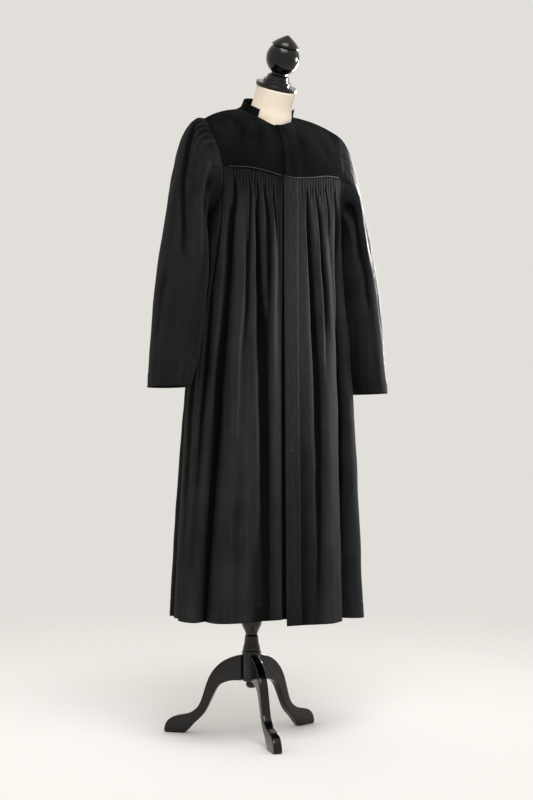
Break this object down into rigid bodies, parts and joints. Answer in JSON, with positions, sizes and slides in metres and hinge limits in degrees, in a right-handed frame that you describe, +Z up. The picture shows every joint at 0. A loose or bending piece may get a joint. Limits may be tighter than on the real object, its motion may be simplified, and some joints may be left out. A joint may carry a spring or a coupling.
{
  "type": "clergy robe on dress form stand",
  "caption": "Long open-hanging clergy robe with a velvet yoke, gathered body and full sleeves, standing on a limbless dress form with a turned post and a tripod base.",
  "frame": {"origin": "centre of the bounding box on the floor under the feet", "axes": "+Z up, the robe's front faces -Y, the wearer's left is +X"},
  "size_m": [0.6652, 0.3972, 1.7499],
  "materials": {
    "wool": "fine black wool suiting, soft and matt",
    "velvet": "deep black velvet pile",
    "satin": "black satin cord",
    "jersey": "cream cotton jersey stretched over the form",
    "black_paint": "turned and sawn wood, painted gloss black"
  },
  "bodies": {
    "root": {"front_right": "wool", "front_left": "wool", "back": "wool", "fly_placket": "wool", "yoke_front_right": "velvet", "yoke_front_left": "velvet", "yoke_back": "velvet", "collar": "velvet", "piping_front_right": "satin", "piping_front_left": "satin", "piping_back": "satin", "sleeve_right": "wool", "sleeve_left": "wool", "corner_patch_right": "wool", "corner_patch_left": "wool", "form_torso": "jersey", "neck_cap_and_ball": "black_paint", "stand_post": "black_paint", "stand_hub": "black_paint", "stand_nub": "black_paint", "leg_front": "black_paint", "leg_left": "black_paint", "leg_right": "black_paint"}
  },
  "joints": []
}
